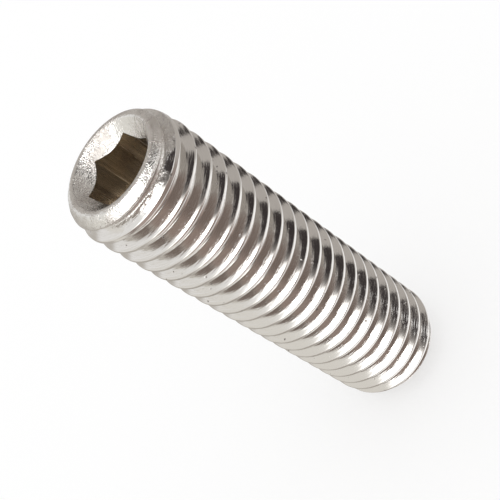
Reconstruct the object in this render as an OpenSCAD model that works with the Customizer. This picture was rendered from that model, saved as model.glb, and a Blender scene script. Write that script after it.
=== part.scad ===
// Hexagon socket set screw with a cup point: a headless screw, threaded over its whole length,
// with a hexagon socket in its rounded end and a hollow point at the other.
// It stands on the rim of its cup point with the socket up. The origin is the middle of that
// rim, +Z runs up the screw's axis, and +X passes through one corner of the hexagon.

/* [Thread] */
// Outside diameter, over the crests
thread_d = 12.57; // [10:0.01:20]
// Turns of thread in each 25.4 mm of length
turns_per_inch = 13; // [10:1:20]
// Angle between the two flanks of a groove
flank_angle = 60; // [50:1:70]
// Width of the flat on a crest, as a share of the pitch
crest_share = 0.125; // [0.06:0.005:0.2]
// Width of the flat at the root, as a share of the pitch
root_share = 0.165; // [0.1:0.005:0.25]
// Direction in which a crest runs out at the top of the rim, in degrees from +X
thread_start = 351; // [0:1:359]
// Straight steps that make up one turn
steps_per_turn = 36; // [24:4:48]

/* [Socket end] */
// Length from the rim of the point to the top of the rim round the socket
body_len = 44.45; // [25:0.05:70]
// Size of the hexagon across its flats
socket_af = 6.35; // [3:0.05:8]
// Depth of the hexagon, from the top of the rim
socket_depth = 7.9; // [3:0.1:12]
// How far the countersink's mouth lies outside the hexagon's corners
mouth_lip = 0.96; // [0.2:0.02:1.5]
// Angle across the countersink
mouth_angle = 90; // [70:1:120]
// Diameter of the hole that is drilled before the hexagon is cut
pilot_d = 6; // [2:0.1:7]
// Radius of the rounded rim
rim_round = 1.55; // [0.3:0.05:2]
// Length over which the rim swells out to the thread
swell_len = 4.4; // [2.5:0.1:6]
// Thinnest ring left between the countersink's mouth and the root of the thread
rim_wall = 0.4; // [0.2:0.05:1]

/* [Point end] */
// Outside diameter of the point's rim
point_d = 7.4; // [4:0.1:9]
// Width of the flat on the point's rim
point_land = 0.25; // [0.1:0.05:0.6]
// Angle of the point's chamfer, measured from the axis
point_angle = 50; // [40:1:60]
// Radius that rounds the chamfer into the thread
point_round = 5; // [2:0.1:8]
// Angle across the hollow of the cup, and across the tip of the pilot drill
cup_angle = 118; // [90:1:140]

/* [Hidden] */

$fn = 96;
// How far a cutting shape runs past the face that it opens
cut = 1;
// How far outside the crests each rounded end finishes, so that its curve crosses the crests
// instead of only touching them
overrun = 0.12;
// How far the blank stands clear of the crests between its ends, so that it shapes only the ends
blank_clear = 1;
// Largest share of the width outside the crown that the rim's small arc takes up
rim_arc_most = 0.8;

// Thread form: one pitch holds a crest flat, a flank, a root flat and a flank
thread_r = thread_d / 2;
pitch = 25.4 / turns_per_inch;
crest_w = crest_share * pitch;
root_w = root_share * pitch;
flank_w = (pitch - crest_w - root_w) / 2;
root_r = thread_r - flank_w / tan(flank_angle / 2);

// Section of one pitch, as [radius, height] from the middle of its crest
thread_form = [
    [thread_r, -crest_w / 2],
    [thread_r, crest_w / 2],
    [root_r, crest_w / 2 + flank_w],
    [root_r, crest_w / 2 + flank_w + root_w],
];

// Threaded rod: whole turns that run past both ends of the screw, counted from the crest that
// runs out at the top of the rim
turns_below = ceil(body_len / pitch) + 1;
turns_above = 2;
rod_turns = turns_below + turns_above;
rod_z = body_len - pitch * (turns_below + thread_start / 360);

// Socket
socket_corner_r = socket_af / 2 / cos(30);
mouth_r = min(socket_corner_r + mouth_lip, root_r - rim_wall);
mouth_depth = mouth_r / tan(mouth_angle / 2);
pilot_tip = pilot_d / 2 / tan(cup_angle / 2);

blank_r = thread_r + blank_clear;
end_r = thread_r + overrun;

// Socket end: a small arc over the rim runs into a large arc that swells out to the thread.
// The small arc is centred a little inside the countersink's mouth, and meets the mouth at the
// top of the rim.
crown_inset = 0.22;
crown_r = mouth_r - crown_inset;
rim_w = end_r - crown_r;
rim_arc = min(rim_round, rim_arc_most * rim_w);
rim_centre = [crown_r, body_len - sqrt(pow(rim_arc, 2) - pow(crown_inset, 2))];
swell_drop = swell_len - (body_len - rim_centre[1]);
swell_arc = (pow(rim_w, 2) - pow(rim_arc, 2) + pow(swell_drop, 2)) / (2 * (rim_w - rim_arc));
swell_centre = [end_r - swell_arc, rim_centre[1] - swell_drop];
// Height at which one arc runs into the other, on the line through both centres
swell_top = rim_centre[1] + rim_arc * swell_drop / (swell_arc - rim_arc);

// Point end: a cone from the rim, then an arc out to the thread
point_r = point_d / 2;
point_arc = min(point_round, (end_r - point_r) / (1 - cos(point_angle)));
cone_r = end_r - point_arc * (1 - cos(point_angle));
cone_top = (cone_r - point_r) / tan(point_angle);
point_centre = [end_r - point_arc, cone_top + point_arc * sin(point_angle)];
cup_r = point_r - point_land;
cup_depth = cup_r / tan(cup_angle / 2);

// Rod with an endless right-hand thread, as one closed skin. The section of one pitch is swept
// up the helix, and the last point of each turn joins the first point of the turn above it.
module threaded_rod() {
    form_n = len(thread_form);
    steps = rod_turns * steps_per_turn;
    last_turn = steps - steps_per_turn;
    function at(step, corner) = corner < form_n
        ? step * form_n + corner
        : (step + steps_per_turn) * form_n;
    skin = [
        for (step = [0 : steps], corner = thread_form)
            let (turn = step / steps_per_turn)
                [
                    corner[0] * cos(360 * turn),
                    corner[0] * sin(360 * turn),
                    rod_z + turn * pitch + corner[1],
                ]
    ];
    bands = [
        for (step = [0 : steps - 1], corner = [0 : form_n - 1])
            if (corner < form_n - 1 || step < last_turn)
                [
                    at(step, corner),
                    at(step, corner + 1),
                    at(step + 1, corner + 1),
                    at(step + 1, corner),
                ]
    ];
    // The skin's open edge at each end is closed by a fan from a hub on the axis
    hubs = [
        [0, 0, rod_z + pitch],
        [0, 0, rod_z + last_turn / steps_per_turn * pitch + thread_form[form_n - 1][1]],
    ];
    low_edge = concat(
        [for (step = [0 : steps_per_turn]) at(step, 0)],
        [for (corner = [form_n - 1 : -1 : 1]) at(0, corner)]
    );
    high_edge = concat(
        [for (corner = [0 : form_n - 1]) at(steps, corner)],
        [for (step = [steps - 1 : -1 : last_turn]) at(step, form_n - 1)]
    );
    function fan(edge, hub) = [
        for (i = [0 : len(edge) - 1])
            [hub, edge[i], edge[(i + 1) % len(edge)]]
    ];
    polyhedron(
        points = concat(skin, hubs),
        faces = concat(bands, fan(low_edge, len(skin)), fan(high_edge, len(skin) + 1)),
        convexity = 10
    );
}

// Part of a disc between two heights
module disc_band(centre, radius, low, high) {
    intersection() {
        translate(centre)
            circle(radius);
        translate([0, low])
            square([blank_r, high - low]);
    }
}

// Half section of the blank: chamfered at the point and rounded at the socket end
module blank_section() {
    polygon([
        [0, 0],
        [point_r, 0],
        [cone_r, cone_top],
        [crown_r, point_centre[1]],
        [crown_r, rim_centre[1] + rim_arc],
        [0, rim_centre[1] + rim_arc],
    ]);
    disc_band(point_centre, point_arc, cone_top, point_centre[1]);
    translate([0, point_centre[1]])
        square([blank_r, swell_centre[1] - point_centre[1]]);
    disc_band(swell_centre, swell_arc, swell_centre[1], swell_top);
    disc_band(rim_centre, rim_arc, swell_top, body_len + cut);
}

// Countersink, hexagon and the pilot hole's tip, from the top of the rim down
module socket() {
    translate([0, 0, body_len - mouth_depth])
        cylinder(h = mouth_depth + cut, r1 = 0, r2 = mouth_r * (1 + cut / mouth_depth));
    translate([0, 0, body_len - socket_depth])
        cylinder(h = socket_depth, r = socket_corner_r, $fn = 6);
    translate([0, 0, body_len - socket_depth - pilot_tip])
        cylinder(h = pilot_tip, r1 = 0, r2 = pilot_d / 2);
}

// Hollow of the cup point
module cup() {
    translate([0, 0, -cut])
        cylinder(h = cup_depth + cut, r1 = cup_r * (1 + cut / cup_depth), r2 = 0);
}

module set_screw() {
    color("silver")
        difference() {
            intersection() {
                threaded_rod();
                rotate_extrude()
                    blank_section();
            }
            socket();
            cup();
        }
}

set_screw();
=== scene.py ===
"""Visual model of a hexagon socket set screw with a rolled thread and a cup point."""

import math

import bmesh
import bpy
from mathutils import Matrix, Vector


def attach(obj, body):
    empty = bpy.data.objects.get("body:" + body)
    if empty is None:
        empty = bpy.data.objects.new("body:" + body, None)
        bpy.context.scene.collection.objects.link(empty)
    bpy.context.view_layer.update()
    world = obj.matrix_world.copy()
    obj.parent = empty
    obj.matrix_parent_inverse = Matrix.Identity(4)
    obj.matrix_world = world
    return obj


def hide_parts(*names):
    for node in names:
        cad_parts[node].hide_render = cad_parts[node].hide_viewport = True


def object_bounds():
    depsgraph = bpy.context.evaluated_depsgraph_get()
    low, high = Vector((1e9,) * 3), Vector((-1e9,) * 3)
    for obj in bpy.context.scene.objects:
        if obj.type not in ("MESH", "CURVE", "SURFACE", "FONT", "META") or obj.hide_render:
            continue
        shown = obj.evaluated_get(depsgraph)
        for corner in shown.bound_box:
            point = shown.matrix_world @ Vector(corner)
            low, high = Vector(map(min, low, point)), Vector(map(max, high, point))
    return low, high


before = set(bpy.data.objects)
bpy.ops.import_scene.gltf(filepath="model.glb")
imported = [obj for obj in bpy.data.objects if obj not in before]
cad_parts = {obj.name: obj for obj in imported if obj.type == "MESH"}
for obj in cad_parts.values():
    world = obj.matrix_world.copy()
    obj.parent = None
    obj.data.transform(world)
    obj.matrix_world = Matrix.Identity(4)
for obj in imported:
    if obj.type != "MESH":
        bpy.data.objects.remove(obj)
cad_low, cad_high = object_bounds()

bl_info = {
    "name": "Set screw",
    "version": (1, 0, 0),
    "blender": (4, 5, 0),
    "location": "3D View > Sidebar > Set screw",
    "description": "Builds a hexagon socket set screw, its finish and its stage",
    "category": "Object",
}

MM = 0.001
AXIS = Vector((0, 0, 1))
CENTRE = Vector((0, 0, 0))
NODE = "set_screw"
BODY = "root"
# Points closer than this are one point
MERGE = 0.0005 * MM
# Half the angle between two neighbouring sides of a hexagon
HALF_SIDE = math.radians(30)
# Share of the way to the axis at which a cone's last ring lies
NEAR_AXIS = 0.95


def length(name, description, millimetres):
    """A length that is shown in the scene's unit."""
    return bpy.props.FloatProperty(
        name=name,
        description=description,
        default=millimetres * MM,
        min=0,
        unit="LENGTH",
        subtype="DISTANCE",
        precision=5,
    )


def angle(name, description, degrees):
    """An angle that is shown in degrees."""
    return bpy.props.FloatProperty(
        name=name,
        description=description,
        default=math.radians(degrees),
        unit="ROTATION",
        subtype="ANGLE",
    )


def count(name, description, number):
    """A whole number."""
    return bpy.props.IntProperty(name=name, description=description, default=number, min=1)


def share(name, description, value):
    """A number from 0 to 1."""
    return bpy.props.FloatProperty(
        name=name, description=description, default=value, min=0, max=1, subtype="FACTOR"
    )


def colour(name, description, red, green, blue):
    """A colour with a swatch."""
    return bpy.props.FloatVectorProperty(
        name=name,
        description=description,
        default=(red, green, blue),
        size=3,
        min=0,
        max=1,
        subtype="COLOR",
    )


class ThreadSizes(bpy.types.PropertyGroup):
    """Sizes of the rolled thread"""

    crest_diameter: length(
        "Diameter", "Outside diameter, over the crests", (cad_high.x - cad_low.x) / MM
    )
    pitch: length("Pitch", "Distance from one crest to the next", 25.4 / 13)
    flank_angle: angle("Flank angle", "Angle between the two flanks of a groove", 60)
    crest_width: length("Crest", "Width of a crest, where its flanks would meet it", 0.3)
    root_round: length("Root radius", "Radius of the rounded root", 0.27)
    lip_round: length("Lip", "Reach of the rounding on the socket's side of a crest", 0.045)
    back_round: length("Back", "Reach of the rounding from a crest towards the point", 0.1)
    back_fall: length("Fall", "Reach of the same rounding down the flank behind it", 0.16)
    start: angle("Start", "Direction in which a crest runs out at the top of the rim", 351)
    steps: count("Steps", "Straight steps that make up one turn", 120)


class SocketSizes(bpy.types.PropertyGroup):
    """Sizes of the socket end"""

    across_flats: length("Across flats", "Size of the hexagon across its flats", 6.35)
    depth: length("Depth", "Depth of the hexagon, from the top of the rim", 7.9)
    corner_round: length("Corner", "Radius in the corners of the hexagon", 0.16)
    mouth_lip: length("Lip", "How far the mouth lies outside the hexagon's corners", 0.96)
    mouth_angle: angle("Mouth angle", "Angle across the countersink", 90)
    mouth_round: length("Mouth edge", "Reach of the rounding between rim and countersink", 0.35)
    pilot_diameter: length("Pilot", "Diameter of the hole drilled before the hexagon", 6)
    drill_angle: angle("Drill tip", "Angle across the tip of the drilled hole", 118)
    rim_round: length("Rim", "Radius of the rounded rim", 1.55)
    crown_inset: length("Crown", "How far the rim's radius is centred inside the mouth", 0.22)
    swell: length("Swell", "Length over which the rim swells out to the thread", 4.4)


class PointSizes(bpy.types.PropertyGroup):
    """Sizes of the cup point"""

    rim_diameter: length("Rim", "Outside diameter of the point's rim", 7.4)
    land: length("Land", "Width of the flat on the point's rim", 0.25)
    chamfer_angle: angle("Chamfer", "Angle of the chamfer, from the axis", 50)
    chamfer_round: length("Rounding", "Radius that rounds the chamfer into the thread", 5)
    cup_angle: angle("Cup", "Angle across the hollow of the cup", 118)


class Blank:
    """Outline that the thread is rolled into: rounded at the socket end, chamfered at the point."""

    # How far outside the crests each rounded end finishes, so that its curve crosses them
    overrun = 0.12 * MM
    # How far below the top of the rim the thread's skin ends
    rim_left = 0.12 * MM
    # Height at which the thread's skin starts
    skin_foot = 1.1 * MM
    # How far past the thread's skin the first ring of each plain end lies
    ring_gap = 0.01 * MM

    def __init__(self, thread, socket, point, top):
        self.top = top
        crest = thread.crest_diameter / 2
        self.end = crest + self.overrun
        self.mouth = corner_radius(socket) + socket.mouth_lip
        crown = self.mouth - socket.crown_inset
        rim_rise = math.sqrt(socket.rim_round**2 - socket.crown_inset**2)
        self.rim = (crown, top - rim_rise, socket.rim_round)
        width = self.end - crown
        drop = socket.swell - rim_rise
        arc = (width**2 - socket.rim_round**2 + drop**2) / (2 * (width - socket.rim_round))
        self.swell = (self.end - arc, self.rim[1] - drop, arc)
        self.swell_top = self.rim[1] + socket.rim_round * drop / (arc - socket.rim_round)
        self.skin_top = top - self.rim_left
        self.ring_top = self.skin_top + self.ring_gap
        self.ring_foot = self.skin_foot - self.ring_gap
        self.point = point.rim_diameter / 2
        self.slope = math.tan(point.chamfer_angle)
        cone = self.end - point.chamfer_round * (1 - math.cos(point.chamfer_angle))
        self.cone_top = (cone - self.point) / self.slope
        self.bend = (
            self.end - point.chamfer_round,
            self.cone_top + point.chamfer_round * math.sin(point.chamfer_angle),
            point.chamfer_round,
        )

    def radius(self, z):
        """Radius of the outline at a height."""
        if z <= self.cone_top:
            return self.point + max(z, 0) * self.slope
        if z < self.bend[1]:
            return arc_radius(self.bend, z)
        if z <= self.swell[1]:
            return self.end
        if z < self.swell_top:
            return arc_radius(self.swell, z)
        if z <= self.skin_top:
            return arc_radius(self.rim, z)
        # Straight on from the skin's edge, so that the level cut there meets the outline
        edge = arc_radius(self.rim, self.skin_top)
        slope = (self.skin_top - self.rim[1]) / (edge - self.rim[0])
        return max(edge - (z - self.skin_top) * slope, self.rim[0] / 2)


def corner_radius(socket):
    """Distance from the axis to a corner of the hexagon."""
    return socket.across_flats / 2 / math.cos(HALF_SIDE)


def arc_radius(arc, z):
    """Radius, at a height, of an outline that follows an arc."""
    centre, height, radius = arc
    return centre + math.sqrt(max(radius**2 - (z - height) ** 2, 0))


class Section:
    """Section of one pitch of the thread."""

    # Flanks and crests have points close to their ends, which keep their shading flat between
    flank_parts = (0.08, 0.92, 1)
    crest_parts = (0.06, 0.5, 0.94)
    lip_steps = 4
    root_steps = 4

    def __init__(self, thread, blank):
        self.blank = blank
        self.pitch = thread.pitch
        self.crest = thread.crest_diameter / 2
        self.half = thread.crest_width / 2
        self.lips = {1: (thread.lip_round,) * 2, -1: (thread.back_round, thread.back_fall)}
        self.lean = math.tan(thread.flank_angle / 2)
        # Radius at which the two flanks of a groove would meet
        deep = self.crest - (thread.pitch - thread.crest_width) / 2 / self.lean
        self.root_round = thread.root_round
        self.root_centre = deep + thread.root_round / math.sin(thread.flank_angle / 2)
        self.root_turn = math.pi / 2 - thread.flank_angle / 2
        # A flank ends where the rounded root begins, so the section never folds back on itself
        self.foot = thread.pitch / 2 - thread.root_round * math.sin(self.root_turn)

    def points(self, middle):
        """Points of the section, from one root to the next, for a crest at a height."""
        low = self.side(middle, -1)
        high = self.side(middle, 1)
        (_, start), (_, end) = low[-1], high[-1]
        inner = [start + (end - start) * part for part in self.crest_parts]
        return low + [(self.top(z), z) for z in inner] + high[::-1]

    def top(self, z):
        """Radius of the crest at a height, or of the blank's outline if that is lower."""
        return min(self.crest, self.blank.radius(z))

    def side(self, middle, way):
        """One root half, flank and lip, from the root up."""
        edge = self.edge(middle, way)
        line = []
        for turn in [0] + steps_between(0, self.root_turn, self.root_steps):
            radius = self.root_centre - self.root_round * math.cos(turn)
            across = self.pitch / 2 - self.root_round * math.sin(turn)
            line.append((radius, middle + way * across))
        start = line[-1]
        over, down = self.lips[way]
        below = toward(edge, start, min(down, 0.45 * abs(edge[0] - start[0]) + 1e-9))
        inner_z = edge[1] - way * min(over, 1.2 * abs(edge[1] - middle))
        inner = (self.top(inner_z), inner_z)
        for part in self.flank_parts:
            line.append(mix(start, below, part))
        for part in steps_between(0, 1, self.lip_steps):
            line.append(curve(below, edge, inner, part))
        return [(min(r, self.blank.radius(z)), z) for r, z in line]

    def edge(self, middle, way):
        """Where a flank meets the crest, or the blank's outline if that is lower."""
        near, far = self.half, self.foot
        if self.blank.radius(middle + way * near) >= self.crest:
            return (self.crest, middle + way * near)
        for _ in range(40):
            half = (near + far) / 2
            radius = self.crest - (half - self.half) / self.lean
            if radius > self.blank.radius(middle + way * half):
                near = half
            else:
                far = half
        return (self.crest - (far - self.half) / self.lean, middle + way * far)


def mix(a, b, part):
    """The point that lies part of the way from a to b."""
    return (a[0] + (b[0] - a[0]) * part, a[1] + (b[1] - a[1]) * part)


def toward(a, b, distance):
    """The point that lies a distance from a on the way to b."""
    gap = math.hypot(b[0] - a[0], b[1] - a[1])
    return mix(a, b, min(distance / gap, 1) if gap else 0)


def curve(start, corner, end, part):
    """A rounded corner, as a quadratic curve."""
    return mix(mix(start, corner, part), mix(corner, end, part), part)


def rolled_thread(thread, blank):
    """Thread that runs past both ends of the blank, as an open skin pressed into its outline."""
    section = Section(thread, blank)
    bm = bmesh.new()
    number = bm.verts.layers.int.new("section")
    # A crest well away from both ends has the whole section
    middle = (blank.bend[1] + blank.swell[1]) / 2
    heights = []
    row = []
    for i, (radius, z) in enumerate(section.points(middle)):
        vert = bm.verts.new((radius, 0, z - middle))
        vert[number] = i
        row.append(vert)
        heights.append(z - middle)
    wire = [bm.edges.new(pair) for pair in zip(row, row[1:])]
    below = math.ceil(blank.top / thread.pitch) + 1
    first = blank.top - thread.pitch * (below + thread.start / math.tau)
    bmesh.ops.translate(bm, verts=bm.verts, vec=(0, 0, first))
    bmesh.ops.spin(
        bm,
        geom=row + wire,
        cent=CENTRE,
        axis=AXIS,
        dvec=AXIS * (thread.pitch / thread.steps),
        angle=math.tau,
        steps=thread.steps,
        use_merge=False,
        use_normal_flip=False,
        use_duplicate=False,
    )
    turn = bm.verts[:] + bm.edges[:] + bm.faces[:]
    for _ in range(below + 1):
        turn = bmesh.ops.duplicate(bm, geom=turn)["geom"]
        verts = of_kind(turn, bmesh.types.BMVert)
        bmesh.ops.translate(bm, verts=verts, vec=AXIS * thread.pitch)
    # Near the ends each step has its own section, which the blank's outline cuts short
    pressed = {}
    for vert in bm.verts:
        middle = vert.co.z - heights[vert[number]]
        step = round((middle - first) / thread.pitch * thread.steps)
        if step not in pressed:
            pressed[step] = section.points(middle)
        radius, z = pressed[step][vert[number]]
        turn = math.tau * step / thread.steps
        vert.co = (radius * math.cos(turn), radius * math.sin(turn), z)
    bmesh.ops.remove_doubles(bm, verts=bm.verts, dist=MERGE)
    return bm


def cut_level(bm, z, way):
    """Cuts the skin off level at a height and gives the edges of the cut."""
    cut = bmesh.ops.bisect_plane(
        bm,
        geom=bm.verts[:] + bm.edges[:] + bm.faces[:],
        dist=1e-9,
        plane_co=(0, 0, z),
        plane_no=(0, 0, way),
        clear_outer=True,
    )
    return of_kind(cut["geom_cut"], bmesh.types.BMEdge)


def of_kind(geometry, kind):
    """The verts, edges or faces among the results of an operator."""
    return [part for part in geometry if isinstance(part, kind)]


def turned_end(bm, edges, outline, tip):
    """Carries a ring of edges on along an outline, and closes it on the axis."""
    for radius, z in outline:
        made = bmesh.ops.extrude_edge_only(bm, edges=edges)["geom"]
        edges = of_kind(made, bmesh.types.BMEdge)
        for vert in of_kind(made, bmesh.types.BMVert):
            flat = Vector((vert.co.x, vert.co.y, 0))
            vert.co = flat * (radius / flat.length) + AXIS * z
    made = bmesh.ops.extrude_edge_only(bm, edges=edges)["geom"]
    bmesh.ops.pointmerge(bm, verts=of_kind(made, bmesh.types.BMVert), merge_co=AXIS * tip)


def steps_between(start, end, number):
    """Even steps from one value to another, without the first value."""
    return [start + (end - start) * i / number for i in range(1, number + 1)]


def screw_skin(sizes, blank):
    """Closed skin of the whole screw, before the hexagon is cut."""
    bm = rolled_thread(sizes.thread, blank)
    upper = cut_level(bm, blank.skin_top, 1)
    lower = cut_level(bm, blank.skin_foot, -1)
    turned_end(bm, upper, *socket_outline(blank, sizes.socket, blank.ring_top))
    turned_end(bm, lower, *point_outline(blank, sizes.point, blank.ring_foot))
    bmesh.ops.remove_doubles(bm, verts=bm.verts, dist=MERGE)
    bmesh.ops.recalc_face_normals(bm, faces=bm.faces)
    return bm


def socket_outline(blank, socket, start):
    """Outline over the rim and down the countersink, and the height at which it meets the axis."""
    rim_steps, edge_steps, cone_steps = 3, 6, 12
    crown, height, radius = blank.rim
    steep = math.tan(socket.mouth_angle / 2)
    begin = math.asin((start - height) / radius)
    finish = math.acos((blank.mouth - crown + socket.mouth_round) / radius)
    outline = [
        (crown + radius * math.cos(a), height + radius * math.sin(a))
        for a in [begin] + steps_between(begin, finish, rim_steps)
    ]
    tip = blank.top - blank.mouth / steep
    # The last stretch of the rim and the countersink's cone, carried on, meet in a corner
    lead = outline[-1]
    slope = 1 / math.tan(finish)
    out = (slope * socket.mouth_round - (blank.top - lead[1])) / (1 / steep + slope)
    corner = (blank.mouth + out, blank.top + out / steep)
    below = toward(corner, (0, tip), socket.mouth_round)
    outline += [curve(lead, corner, below, part) for part in steps_between(0, 1, edge_steps)]
    outline += [mix(below, (0, tip), part) for part in steps_between(0, NEAR_AXIS, cone_steps)]
    return outline, tip


def point_outline(blank, point, start):
    """Outline down the chamfer and up the cup, and the height at which it meets the axis."""
    cup_steps = 8
    cup = blank.point - point.land
    tip = cup / math.tan(point.cup_angle / 2)
    outline = [(blank.radius(z), z) for z in (start, start / 2)]
    outline += [(blank.point, 0), (cup, 0)]
    outline += [mix((cup, 0), (0, tip), part) for part in steps_between(0, NEAR_AXIS, cup_steps)]
    return outline, tip


def hexagon_tool(socket, top):
    """Solid that the broach takes out, with rounded corners."""
    bm = bmesh.new()
    made = bmesh.ops.create_circle(bm, cap_ends=True, segments=6, radius=corner_radius(socket))
    # This brings one corner onto the X axis
    bmesh.ops.rotate(
        bm, verts=made["verts"], cent=CENTRE, matrix=Matrix.Rotation(HALF_SIDE, 3, "Z")
    )
    bmesh.ops.translate(bm, verts=made["verts"], vec=(0, 0, top - socket.depth))
    lifted = bmesh.ops.extrude_face_region(bm, geom=bm.faces[:])["geom"]
    bmesh.ops.translate(
        bm,
        verts=of_kind(lifted, bmesh.types.BMVert),
        vec=(0, 0, socket.depth + MM),
    )
    upright = [e for e in bm.edges if abs(e.verts[0].co.z - e.verts[1].co.z) > MM]
    bmesh.ops.bevel(
        bm,
        geom=upright,
        offset=socket.corner_round * math.tan(HALF_SIDE),
        offset_type="OFFSET",
        segments=4,
        profile=0.5,
        affect="EDGES",
        material=-1,
    )
    bmesh.ops.recalc_face_normals(bm, faces=bm.faces)
    return bm


def pilot_tool(socket, top):
    """Tip of the drilled hole, which overlaps the hexagon's floor a little."""
    overlap = 0.02 * MM
    bm = bmesh.new()
    radius = socket.pilot_diameter / 2
    tip = radius / math.tan(socket.drill_angle / 2)
    bmesh.ops.create_cone(
        bm, cap_ends=True, cap_tris=False, segments=96, radius1=0, radius2=radius, depth=tip
    )
    bmesh.ops.translate(bm, verts=bm.verts, vec=(0, 0, top - socket.depth - tip / 2 + overlap))
    bmesh.ops.recalc_face_normals(bm, faces=bm.faces)
    return bm


def object_from(bm, name):
    """An object with the mesh that was built, which is freed."""
    mesh = bpy.data.meshes.new(name)
    bm.to_mesh(mesh)
    bm.free()
    made = bpy.data.objects.new(name, mesh)
    bpy.context.scene.collection.objects.link(made)
    return made


def take_out(piece, tool):
    """Cuts the tool's shape out of the piece and removes the tool."""
    cutter = piece.modifiers.new("Cut", "BOOLEAN")
    cutter.operation = "DIFFERENCE"
    cutter.solver = "MANIFOLD"
    cutter.object = tool
    bpy.context.view_layer.update()
    seen = piece.evaluated_get(bpy.context.evaluated_depsgraph_get())
    mesh = bpy.data.meshes.new_from_object(seen)
    if not mesh.polygons:
        raise RuntimeError(f"cutting {tool.name} out of {piece.name} left nothing")
    # The cut leaves pairs of points on one spot, with slivers between them
    bm = bmesh.new()
    bm.from_mesh(mesh)
    bmesh.ops.remove_doubles(bm, verts=bm.verts, dist=MERGE)
    bmesh.ops.recalc_face_normals(bm, faces=bm.faces)
    bm.to_mesh(mesh)
    bm.free()
    piece.modifiers.clear()
    old = piece.data
    piece.data = mesh
    mesh.name = piece.name
    bpy.data.meshes.remove(old)
    bpy.data.objects.remove(tool)


class ScrewSizes(bpy.types.PropertyGroup):
    """All sizes of the set screw"""

    thread: bpy.props.PointerProperty(type=ThreadSizes)
    socket: bpy.props.PointerProperty(type=SocketSizes)
    point: bpy.props.PointerProperty(type=PointSizes)


class SCREW_OT_body(bpy.types.Operator):
    """Builds the set screw"""

    bl_idname = "set_screw.body"
    bl_label = "Build the screw"

    def execute(self, context):
        sizes = context.scene.set_screw_sizes
        top = cad_high.z - cad_low.z
        blank = Blank(sizes.thread, sizes.socket, sizes.point, top)
        piece = object_from(screw_skin(sizes, blank), "rolled_screw")
        take_out(piece, object_from(hexagon_tool(sizes.socket, top), "hexagon_tool"))
        take_out(piece, object_from(pilot_tool(sizes.socket, top), "pilot_tool"))
        piece.data.shade_smooth()
        piece.data.set_sharp_from_angle(angle=math.radians(32))
        finish = context.scene.set_screw_finish
        streaks = streaks_group()
        rolled = rolled_steel(finish, sizes.thread, top, tumbled_group(), streaks)
        piece.data.materials.clear()
        piece.data.materials.append(rolled)
        piece.data.materials.append(broached_steel(finish, streaks))
        # The broached finish goes on the hexagon's walls and floor, and not on the countersink
        reach = corner_radius(sizes.socket) + 0.01 * MM
        below_floor = top - sizes.socket.depth - 3 * MM
        above_floor = top - sizes.socket.depth + MM
        for face in piece.data.polygons:
            x, y, z = face.center
            inside = math.hypot(x, y) < reach and z > below_floor
            broached = abs(face.normal.z) < 0.3 or z < above_floor
            face.material_index = int(inside and broached)
        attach(piece, BODY)
        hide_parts(NODE)
        return {"FINISHED"}


class StageSettings(bpy.types.PropertyGroup):
    """Camera, floor and light"""

    view_turn: angle("Turn", "Direction of the camera round the screw", 20.83)
    view_rise: angle("Rise", "Height of the camera above the horizon", 40.59)
    view_roll: angle("Roll", "Roll of the camera", -56.84)
    view_lens: bpy.props.FloatProperty(
        name="Lens", description="Focal length", default=73.9, min=1, unit="CAMERA"
    )
    view_from: bpy.props.FloatVectorProperty(
        name="From",
        description="Place of the camera",
        default=(0.02682, -0.06955, 0.08993),
        subtype="TRANSLATION",
        unit="LENGTH",
    )
    wall: colour("Wall", "Colour of the grey cards round the screw", 0.56, 0.53, 0.50)
    flag: colour("Flag", "Colour of the dark cards", 0.05, 0.042, 0.042)
    table: colour("Table", "Colour of the pale card below", 0.89, 0.87, 0.82)
    lamp: bpy.props.FloatProperty(
        name="Soft box", description="Brightness of the soft box", default=8.0, min=0
    )


def view_axes(stage):
    """The camera's right, up and backward directions."""
    turn, rise = stage.view_turn, stage.view_rise
    back = Vector(
        (math.sin(turn) * math.cos(rise), -math.cos(turn) * math.cos(rise), math.sin(rise))
    )
    return Matrix.Rotation(stage.view_roll, 3, back) @ back.to_track_quat("Z", "Y").to_matrix()


def glow(name, colour, strength, soft):
    """Material of a card that shines evenly and fades out towards its edges.

    soft has the shares of the width, and then of the height, over which it fades.
    """
    material = bpy.data.materials.new(name)
    material.use_nodes = True
    nodes, links = material.node_tree.nodes, material.node_tree.links
    nodes.clear()
    shine = nodes.new("ShaderNodeEmission")
    shine.inputs["Color"].default_value = (*colour, 1)
    shine.inputs["Strength"].default_value = strength
    clear = nodes.new("ShaderNodeBsdfTransparent")
    mixed = nodes.new("ShaderNodeMixShader")
    spot = nodes.new("ShaderNodeUVMap")
    split = nodes.new("ShaderNodeSeparateXYZ")
    links.new(spot.outputs["UV"], split.inputs[0])
    parts = []
    for side, (low, high) in zip("XY", soft):
        for flip, width in ((False, low), (True, high)):
            ramp = nodes.new("ShaderNodeMapRange")
            ramp.interpolation_type = "SMOOTHSTEP"
            ramp.inputs["From Min"].default_value = 1.0 if flip else 0.0
            ramp.inputs["From Max"].default_value = 1.0 - width if flip else width
            links.new(split.outputs[side], ramp.inputs["Value"])
            parts.append(ramp.outputs["Result"])
    fade = parts[0]
    for part in parts[1:]:
        times = nodes.new("ShaderNodeMath")
        times.operation = "MULTIPLY"
        links.new(fade, times.inputs[0])
        links.new(part, times.inputs[1])
        fade = times.outputs[0]
    links.new(fade, mixed.inputs["Fac"])
    links.new(clear.outputs[0], mixed.inputs[1])
    links.new(shine.outputs[0], mixed.inputs[2])
    output = nodes.new("ShaderNodeOutputMaterial")
    links.new(mixed.outputs[0], output.inputs["Surface"])
    return material


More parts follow.
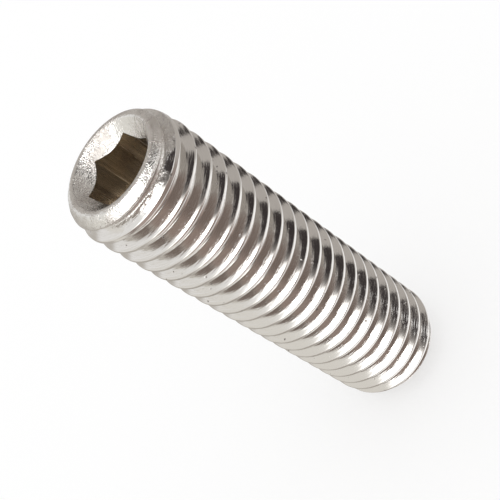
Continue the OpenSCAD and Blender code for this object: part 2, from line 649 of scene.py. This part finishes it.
def card(name, stage, across, upward, distance, material):
    """A curved card that stands round the screw, over angles seen from the camera's side."""
    bm = bmesh.new()
    bm.loops.layers.uv.new("card")
    bmesh.ops.create_grid(bm, x_segments=24, y_segments=24, size=0.5, calc_uvs=True)
    axes = view_axes(stage)
    middle = Vector((0, 0, (cad_high.z - cad_low.z) / 2))
    for vert in bm.verts:
        east = math.radians(across[0] + (across[1] - across[0]) * (vert.co.x + 0.5))
        north = math.radians(upward[0] + (upward[1] - upward[0]) * (vert.co.y + 0.5))
        way = Vector(
            (math.sin(east) * math.cos(north), math.sin(north), math.cos(east) * math.cos(north))
        )
        vert.co = middle + axes @ way * distance
    made = object_from(bm, name)
    made.data.materials.append(material)
    made.visible_camera = False
    made.visible_diffuse = False
    made.visible_shadow = False
    made.visible_transmission = True


class SCREW_OT_stage(bpy.types.Operator):
    """Sets up the floor, the light and the camera"""

    bl_idname = "set_screw.stage"
    bl_label = "Set the stage"

    def execute(self, context):
        stage = context.scene.set_screw_stage
        data = bpy.data.cameras.new("camera")
        data.lens = stage.view_lens
        data.sensor_width = 36
        data.clip_start = 0.005
        camera = bpy.data.objects.new("camera", data)
        context.scene.collection.objects.link(camera)
        context.scene.camera = camera
        camera.matrix_world = Matrix.Translation(stage.view_from) @ view_axes(stage).to_4x4()
        make_floor()
        make_world(context.scene)
        lamp = (1, 1, 1)
        hard = (0.01, 0.01)
        wall, table, flag = tuple(stage.wall), tuple(stage.table), tuple(stage.flag)
        under, beyond, side = (0.32, 0.265, 0.24), (0.60, 0.57, 0.53), (0.5, 0.4, 0.36)
        shade, behind, dim = (0.32, 0.26, 0.235), (0.5, 0.47, 0.43), (0.16, 0.14, 0.13)
        # What the steel mirrors. Each card has the angles that it covers, across and upward in
        # degrees, its distance in metres, its colour and brightness, and the shares of its
        # width and height over which it fades out at the edges.
        cards = (
            ("wall", (-180, 180), (13, 90), 0.66, wall, 1, (hard, (0.05, 0.01))),
            ("table", (-180, 180), (-90, -6), 0.66, table, 1, (hard, (0.01, 0.07))),
            ("under", (-112, 6), (-89, -44), 0.6, under, 1, ((0.15, 0.1), (0.05, 0.25))),
            ("beyond", (-165, -106), (-58, 10), 0.63, beyond, 1, ((0.2, 0.2), (0.2, 0.2))),
            ("side", (-15, 100), (-84, 22), 0.62, side, 1, ((0.15, 0.1), (0.12, 0.12))),
            ("shade", (36, 88), (-48, 40), 0.6, shade, 1, ((0.2, 0.3), (0.25, 0.4))),
            ("lip_strip", (26, 62), (-8, 74), 0.58, lamp, 1.3, ((0.3, 0.5), (0.4, 0.3))),
            ("crest_strip", (80, 160), (-68, 30), 0.58, lamp, 1.3, ((0.06, 0.2), (0.15, 0.1))),
            ("behind", (140, 210), (-78, 6), 0.6, behind, 1, ((0.1, 0.2), (0.1, 0.2))),
            ("soft_box", (-56, -12), (-6, 28), 0.56, lamp, stage.lamp, ((0.35, 0.3), (0.3, 0.65))),
            ("mouth_box", (-9, 14), (26, 52), 0.49, lamp, 2, ((0.25, 0.3), (0.3, 0.3))),
            ("low_box", (-62, -8), (-36, -4), 0.57, lamp, 3, ((0.3, 0.15), (0.3, 0.1))),
            ("camera", (-6, 26), (-48, 4), 0.55, dim, 1, ((0.15, 0.2), (0.2, 0.2))),
            ("flag", (-44, -2), (16, 66), 0.5, flag, 1, ((0.06, 0.2), (0.45, 0.02))),
            ("flag_top", (-150, -90), (67, 88), 0.5, flag, 1, ((0.08, 0.12), (0.1, 0.03))),
        )
        for name, across, upward, distance, tint, strength, soft in cards:
            card(name, stage, across, upward, distance, glow(name, tint, strength, soft))
        return {"FINISHED"}


def make_floor():
    """A pale floor that renders white but keeps the screw's shadow."""
    bm = bmesh.new()
    bmesh.ops.create_circle(bm, cap_ends=True, segments=96, radius=1.5)
    floor = object_from(bm, "floor")
    floor.visible_glossy = False
    material = bpy.data.materials.new("floor")
    material.use_nodes = True
    nodes, links = material.node_tree.nodes, material.node_tree.links
    nodes.clear()
    matt = nodes.new("ShaderNodeBsdfDiffuse")
    matt.inputs["Color"].default_value = (0.45, 0.45, 0.45, 1)
    shine = nodes.new("ShaderNodeEmission")
    shine.inputs["Strength"].default_value = 0.55
    both = nodes.new("ShaderNodeAddShader")
    links.new(matt.outputs[0], both.inputs[0])
    links.new(shine.outputs[0], both.inputs[1])
    output = nodes.new("ShaderNodeOutputMaterial")
    links.new(both.outputs[0], output.inputs["Surface"])
    floor.data.materials.append(material)


def make_world(scene):
    """A plain white surround, with colours shown unchanged."""
    world = bpy.data.worlds.new("studio")
    scene.world = world
    world.use_nodes = True
    nodes = world.node_tree.nodes
    nodes["Background"].inputs["Color"].default_value = (1, 1, 1, 1)
    nodes["Background"].inputs["Strength"].default_value = 1
    scene.view_settings.view_transform = "Standard"


class FinishSettings(bpy.types.PropertyGroup):
    """Colours and finish of the steel"""

    steel: colour("Steel", "Colour of the clean stainless steel", 0.70, 0.68, 0.655)
    tumbled: colour("Tumbled", "Colour of the tumbled ends", 0.72, 0.705, 0.68)
    stain: colour("Stain", "Colour of the oil film on the tumbled ends", 0.58, 0.54, 0.505)
    broached: colour("Socket", "Colour of the broached walls of the socket", 0.68, 0.62, 0.53)
    scorched: colour("Scorch", "Colour of the darkest marks in the socket", 0.34, 0.29, 0.245)
    grime: colour("Grime", "Colour of pits in the steel", 0.14, 0.12, 0.11)
    polish: share("Polish", "Roughness of the rolled thread", 0.13)
    satin: share("Satin", "Roughness of the tumbled ends", 0.22)
    socket_satin: share("Socket satin", "Roughness of the broached walls", 0.24)
    end_depth: length("End depth", "How far down the tumbled finish of the socket end reaches", 1.7)
    point_depth: length("Point depth", "How far up the finish of the point reaches", 1.2)


def new_group(name, inputs, outputs):
    """An empty shader node group with its sockets."""
    group = bpy.data.node_groups.new(name, "ShaderNodeTree")
    for socket, kind, value in inputs:
        made = group.interface.new_socket(socket, in_out="INPUT", socket_type=kind)
        if value is not None:
            made.default_value = value
    for socket, kind in outputs:
        group.interface.new_socket(socket, in_out="OUTPUT", socket_type=kind)
    return group


class Wiring:
    """Adds nodes to one node tree and links them by their sockets' names."""

    def __init__(self, tree):
        self.tree = tree

    def node(self, kind, inputs=None, **settings):
        """A node with its settings made and its inputs wired."""
        made = self.tree.nodes.new("ShaderNode" + kind)
        for key, value in settings.items():
            setattr(made, key, value)
        self.wire(made, inputs or {})
        return made

    def wire(self, node, inputs):
        """Links each input to a socket, or sets its value."""
        for key, value in inputs.items():
            if isinstance(value, bpy.types.NodeSocket):
                self.tree.links.new(value, node.inputs[key])
            else:
                node.inputs[key].default_value = value

    def math(self, operation, *values):
        """The result of a calculation on values or sockets."""
        made = self.node("Math", dict(enumerate(values)), operation=operation)
        return made.outputs[0]

    def ramp(self, value, low, high, bottom=0.0, top=1.0):
        """A value carried smoothly from one range to another."""
        inputs = {"Value": value, 1: low, 2: high, 3: bottom, 4: top}
        return self.node("MapRange", inputs, interpolation_type="SMOOTHSTEP").outputs[0]

    def blend(self, share, low, high):
        """A mix of two colours."""
        # Of the Mix node's sockets, inputs 6 and 7 and output 2 carry colours
        made = self.node("Mix", data_type="RGBA")
        self.wire(made, {0: share, 6: low, 7: high})
        return made.outputs[2]

    def group(self, tree, inputs):
        """A node group placed in the tree, with its inputs wired."""
        made = self.node("Group", node_tree=tree)
        self.wire(made, inputs)
        return made


def tumbled_group():
    """Dents, waves and film that tumbling leaves on steel."""
    group = new_group(
        "tumbled",
        (
            ("Vector", "NodeSocketVector", None),
            ("Scale", "NodeSocketFloat", 1.0),
            ("Amount", "NodeSocketFloat", 1.0),
        ),
        (("Height", "NodeSocketFloat"), ("Film", "NodeSocketFloat"), ("Pits", "NodeSocketFloat")),
    )
    w = Wiring(group)
    ins = group.nodes.new("NodeGroupInput")
    out = group.nodes.new("NodeGroupOutput")
    place = w.node("VectorMath", {0: ins.outputs["Vector"]}, operation="SCALE")
    group.links.new(ins.outputs["Scale"], place.inputs["Scale"])
    waves = w.node("TexNoise", {"Vector": place.outputs[0], "Scale": 1100.0, "Detail": 2.0})
    dents = w.node("TexNoise", {"Vector": place.outputs[0], "Scale": 7000.0, "Detail": 2.0})
    patch = w.node("TexNoise", {"Vector": place.outputs[0], "Scale": 420.0, "Detail": 4.0})
    pits = w.node("TexNoise", {"Vector": place.outputs[0], "Scale": 2600.0, "Detail": 0.0})
    rough = w.ramp(patch.outputs["Fac"], 0.42, 0.66)
    coarse = w.math("MULTIPLY", waves.outputs["Fac"], 0.45)
    spread = w.math("MULTIPLY_ADD", rough, 0.6, 0.4)
    fine = w.math("MULTIPLY", w.math("MULTIPLY", dents.outputs["Fac"], spread), 0.55)
    height = w.math("MULTIPLY", w.math("ADD", coarse, fine), ins.outputs["Amount"])
    group.links.new(height, out.inputs["Height"])
    group.links.new(rough, out.inputs["Film"])
    group.links.new(w.ramp(pits.outputs["Fac"], 0.8, 0.86), out.inputs["Pits"])
    return group


def streaks_group():
    """Fine parallel streaks along the last axis of a position, with a few deeper ones."""
    group = new_group(
        "streaks",
        (("Vector", "NodeSocketVector", None), ("Fine", "NodeSocketFloat", 9000.0)),
        (("Fine", "NodeSocketFloat"), ("Broad", "NodeSocketFloat"), ("Deep", "NodeSocketFloat")),
    )
    w = Wiring(group)
    ins = group.nodes.new("NodeGroupInput")
    out = group.nodes.new("NodeGroupOutput")
    thin = w.node("TexNoise", {"Vector": ins.outputs["Vector"], "Detail": 3.0, "Roughness": 0.6})
    group.links.new(ins.outputs["Fine"], thin.inputs["Scale"])
    broad = w.node("TexNoise", {"Vector": ins.outputs["Vector"], "Detail": 1.0})
    group.links.new(w.math("MULTIPLY", ins.outputs["Fine"], 0.4), broad.inputs["Scale"])
    group.links.new(broad.outputs["Fac"], out.inputs["Broad"])
    wide = w.node("TexNoise", {"Vector": ins.outputs["Vector"], "Detail": 1.0})
    group.links.new(w.math("MULTIPLY", ins.outputs["Fine"], 0.22), wide.inputs["Scale"])
    group.links.new(thin.outputs["Fac"], out.inputs["Fine"])
    group.links.new(w.ramp(wide.outputs["Fac"], 0.45, 0.62), out.inputs["Deep"])
    return group


def rolled_steel(finish, thread, top, tumbled, streaks):
    """Stainless steel: the polished rolled thread, and its tumbled ends."""
    material = bpy.data.materials.new("rolled_steel")
    material.use_nodes = True
    tree = material.node_tree
    w = Wiring(tree)
    shader = tree.nodes["Principled BSDF"]
    spot = w.node("TexCoord").outputs["Object"]
    split = w.node("SeparateXYZ", {0: spot})
    x, y, z = split.outputs
    around = w.math("ARCTAN2", y, x)
    rise = w.math("SUBTRACT", z, w.math("MULTIPLY", around, thread.pitch / math.tau))
    phase = w.math("WRAP", rise, thread.pitch, 0.0)
    flat = w.node("CombineXYZ", {0: x, 1: y}).outputs[0]
    radius = w.node("VectorMath", {0: flat}, operation="LENGTH")
    # Streaks run on round the screw, so their pattern hardly changes with the angle
    along = w.math("MULTIPLY", around, 0.0008)
    profile = w.node("CombineXYZ", {0: radius.outputs["Value"], 1: phase, 2: along}).outputs[0]
    lines = w.group(streaks, {"Vector": profile, "Fine": 11000.0})
    dents = w.group(tumbled, {"Vector": spot, "Scale": 1.0, "Amount": 1.0})
    # The tumbled finish stops at uneven edges
    wander = w.node("TexNoise", {"Vector": spot, "Scale": 500.0, "Detail": 3.0}).outputs["Fac"]
    edge = w.math("ADD", z, w.math("MULTIPLY", w.math("SUBTRACT", wander, 0.5), 1.6 * MM))
    upper = w.ramp(edge, top - finish.end_depth - 0.3 * MM, top - finish.end_depth + 0.5 * MM)
    lower = w.ramp(edge, finish.point_depth + 0.2 * MM, finish.point_depth - 0.2 * MM)
    ends = w.math("MAXIMUM", upper, lower)
    film = w.math("MULTIPLY", dents.outputs["Film"], ends)
    dark = w.math("MULTIPLY", dents.outputs["Pits"], w.math("MULTIPLY_ADD", ends, -0.6, 0.8))
    steel = w.blend(ends, (*finish.steel, 1), (*finish.tumbled, 1))
    clean = w.blend(w.math("MULTIPLY", film, 0.7), steel, (*finish.stain, 1))
    tree.links.new(w.blend(dark, clean, (*finish.grime, 1)), shader.inputs["Base Color"])
    shine = w.math("MULTIPLY_ADD", lines.outputs["Deep"], 0.05, finish.polish - 0.03)
    worn = w.math("MULTIPLY_ADD", dents.outputs["Film"], 0.12, finish.satin - 0.06)
    rough = w.node("Mix", {0: ends, 2: shine, 3: worn}).outputs[0]
    tree.links.new(w.math("MULTIPLY_ADD", dark, 0.3, rough), shader.inputs["Roughness"])
    shader.inputs["Metallic"].default_value = 1
    # The streaks fade out where the dents of the tumbled ends begin
    rolled = w.math("MULTIPLY_ADD", lines.outputs["Broad"], 2.0, lines.outputs["Fine"])
    rolled = w.math("MULTIPLY", rolled, w.math("MULTIPLY_ADD", ends, -0.9, 1.0))
    dented = w.math("MULTIPLY", dents.outputs["Height"], ends)
    height = w.math("MULTIPLY_ADD", rolled, 0.006 * MM, w.math("MULTIPLY", dented, 0.2 * MM))
    height = w.math("SUBTRACT", height, w.math("MULTIPLY", dark, 0.02 * MM))
    bump = w.node("Bump", {"Strength": 1.0, "Distance": 1.0, "Height": height})
    tree.links.new(bump.outputs[0], shader.inputs["Normal"])
    return material


def broached_steel(finish, streaks):
    """Walls of the socket: dark, oily and scored lengthwise by the broach."""
    material = bpy.data.materials.new("broached_steel")
    material.use_nodes = True
    tree = material.node_tree
    w = Wiring(tree)
    shader = tree.nodes["Principled BSDF"]
    spot = w.node("TexCoord").outputs["Object"]
    # Drawn out along the axis, the pattern becomes lengthwise marks
    flat = w.node("Mapping", {"Vector": spot, "Scale": (1, 1, 0.03)}).outputs[0]
    lines = w.group(streaks, {"Vector": flat, "Fine": 5200.0})
    cloud = w.node("TexNoise", {"Vector": spot, "Scale": 330.0, "Detail": 3.0}).outputs["Fac"]
    mark = w.math("MULTIPLY", lines.outputs["Deep"], w.ramp(cloud, 0.3, 0.7, 0.3, 1.0))
    tree.links.new(
        w.blend(mark, (*finish.broached, 1), (*finish.scorched, 1)), shader.inputs["Base Color"]
    )
    tree.links.new(
        w.math("MULTIPLY_ADD", lines.outputs["Fine"], 0.2, finish.socket_satin - 0.1),
        shader.inputs["Roughness"],
    )
    shader.inputs["Metallic"].default_value = 1
    height = w.math("MULTIPLY", lines.outputs["Fine"], 0.02 * MM)
    bump = w.node("Bump", {"Strength": 1.0, "Distance": 1.0, "Height": height})
    tree.links.new(bump.outputs[0], shader.inputs["Normal"])
    return material


class SCREW_PT_panel(bpy.types.Panel):
    """Builds the set screw and its stage, and lists their settings"""

    bl_idname = "SCREW_PT_panel"
    bl_label = "Set screw"
    bl_space_type = "VIEW_3D"
    bl_region_type = "UI"
    bl_category = "Set screw"

    def draw(self, context):
        scene = context.scene
        sizes = scene.set_screw_sizes
        layout = self.layout
        layout.operator(SCREW_OT_body.bl_idname)
        layout.operator(SCREW_OT_stage.bl_idname)
        for title, settings in (
            ("Thread", sizes.thread),
            ("Socket", sizes.socket),
            ("Point", sizes.point),
            ("Finish", scene.set_screw_finish),
            ("Stage", scene.set_screw_stage),
        ):
            box = layout.box()
            box.label(text=title)
            for name in settings.__annotations__:
                box.prop(settings, name)


CLASSES = (
    ThreadSizes,
    SocketSizes,
    PointSizes,
    ScrewSizes,
    FinishSettings,
    StageSettings,
    SCREW_OT_body,
    SCREW_OT_stage,
    SCREW_PT_panel,
)


def register():
    for kind in CLASSES:
        bpy.utils.register_class(kind)
    bpy.types.Scene.set_screw_sizes = bpy.props.PointerProperty(type=ScrewSizes)
    bpy.types.Scene.set_screw_finish = bpy.props.PointerProperty(type=FinishSettings)
    bpy.types.Scene.set_screw_stage = bpy.props.PointerProperty(type=StageSettings)


def unregister():
    del bpy.types.Scene.set_screw_stage
    del bpy.types.Scene.set_screw_finish
    del bpy.types.Scene.set_screw_sizes
    for kind in reversed(CLASSES):
        bpy.utils.unregister_class(kind)


def main():
    """Builds the screw and its stage."""
    register()
    bpy.ops.set_screw.body()
    bpy.ops.set_screw.stage()


if __name__ == "__main__":
    main()
